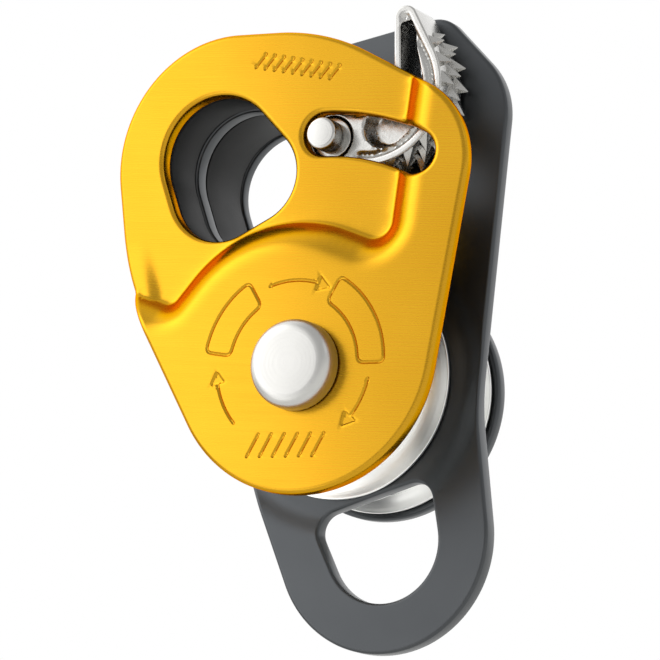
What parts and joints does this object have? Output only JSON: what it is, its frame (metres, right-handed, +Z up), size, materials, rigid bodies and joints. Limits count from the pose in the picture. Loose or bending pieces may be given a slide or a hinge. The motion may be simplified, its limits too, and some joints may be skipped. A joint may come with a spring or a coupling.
{
  "type": "double rope pulley with progress-capture cam",
  "caption": "Twin-sheave rope pulley with swinging side plates, a toothed cam that captures the rope, an attachment hole above and a becket eye below.",
  "frame": {"origin": "centre of the attachment hole, halfway through the middle plate", "axes": "+Z up from the becket eye to the attachment hole, +Y from the swing side plate to the rear side plate, +X towards the cam's rope side"},
  "size_m": [0.0626, 0.0399, 0.0983],
  "materials": {
    "gold_anodised_aluminium": "brushed, gold anodised, glossy",
    "black_anodised_aluminium": "satin black anodised",
    "satin_aluminium": "satin turned",
    "cast_stainless": "investment cast, tumbled",
    "turned_steel": "turned",
    "bearing_steel": "ground and polished",
    "black_nylon": "moulded, fine texture",
    "seal_rubber": "moulded"
  },
  "bodies": {
    "middle_frame": {"middle_plate": "black_anodised_aluminium", "axle": "turned_steel", "axle_washer": "turned_steel", "front_tunnel_spacer": "black_nylon", "rear_tunnel_spacer": "black_nylon", "cam_pin": "turned_steel", "cam_spring": "turned_steel", "front_inner_race": "bearing_steel", "front_spacer_a": "turned_steel", "front_spacer_b": "turned_steel", "rear_inner_race": "bearing_steel", "rear_spacer_a": "turned_steel", "rear_spacer_b": "turned_steel"},
    "swing_plate": {"swing_side_plate": "gold_anodised_aluminium"},
    "rear_plate": {"rear_side_plate": "black_anodised_aluminium"},
    "front_sheave_body": {"front_sheave": "satin_aluminium", "front_outer_race": "bearing_steel", "front_seal_a": "seal_rubber", "front_seal_b": "seal_rubber"},
    "rear_sheave_body": {"rear_sheave": "satin_aluminium", "rear_outer_race": "bearing_steel", "rear_seal_a": "seal_rubber", "rear_seal_b": "seal_rubber"},
    "front_ball_set": {"front_ball_cage": "black_nylon", "front_ball_1": "bearing_steel", "front_ball_2": "bearing_steel", "front_ball_3": "bearing_steel", "front_ball_4": "bearing_steel", "front_ball_5": "bearing_steel", "front_ball_6": "bearing_steel", "front_ball_7": "bearing_steel", "front_ball_8": "bearing_steel"},
    "rear_ball_set": {"rear_ball_cage": "black_nylon", "rear_ball_1": "bearing_steel", "rear_ball_2": "bearing_steel", "rear_ball_3": "bearing_steel", "rear_ball_4": "bearing_steel", "rear_ball_5": "bearing_steel", "rear_ball_6": "bearing_steel", "rear_ball_7": "bearing_steel", "rear_ball_8": "bearing_steel"},
    "cam_body": {"cam": "cast_stainless"}
  },
  "joints": [
    {"name": "swing_plate_open", "type": "hinge", "parent": "middle_frame", "child": "swing_plate", "pos_m": [0.0052, -0.0152, -0.0358], "axis": [0, -1, 0], "range_deg": [0, 120]},
    {"name": "rear_plate_open", "type": "hinge", "parent": "middle_frame", "child": "rear_plate", "pos_m": [0.0052, 0.0149, -0.0358], "axis": [0, 1, 0], "range_deg": [0, 120]},
    {"name": "front_sheave_spin", "type": "hinge", "parent": "middle_frame", "child": "front_sheave_body", "pos_m": [0.0052, -0.0076, -0.0358], "axis": [0, 1, 0], "continuous": true},
    {"name": "rear_sheave_spin", "type": "hinge", "parent": "middle_frame", "child": "rear_sheave_body", "pos_m": [0.0052, 0.0076, -0.0358], "axis": [0, 1, 0], "continuous": true},
    {"name": "front_balls_roll", "type": "hinge", "parent": "middle_frame", "child": "front_ball_set", "pos_m": [0.0052, -0.0076, -0.0358], "axis": [0, 1, 0], "continuous": true},
    {"name": "rear_balls_roll", "type": "hinge", "parent": "middle_frame", "child": "rear_ball_set", "pos_m": [0.0052, 0.0076, -0.0358], "axis": [0, 1, 0], "continuous": true},
    {"name": "cam_turn", "type": "hinge", "parent": "middle_frame", "child": "cam_body", "pos_m": [0.0165, -0.0058, -0.0013], "axis": [0, 1, 0], "range_deg": [0, 72]}
  ],
  "couplings": [
    {"joint": "front_balls_roll", "follows": "front_sheave_spin", "ratio": 0.5993},
    {"joint": "rear_balls_roll", "follows": "rear_sheave_spin", "ratio": 0.5993}
  ]
}
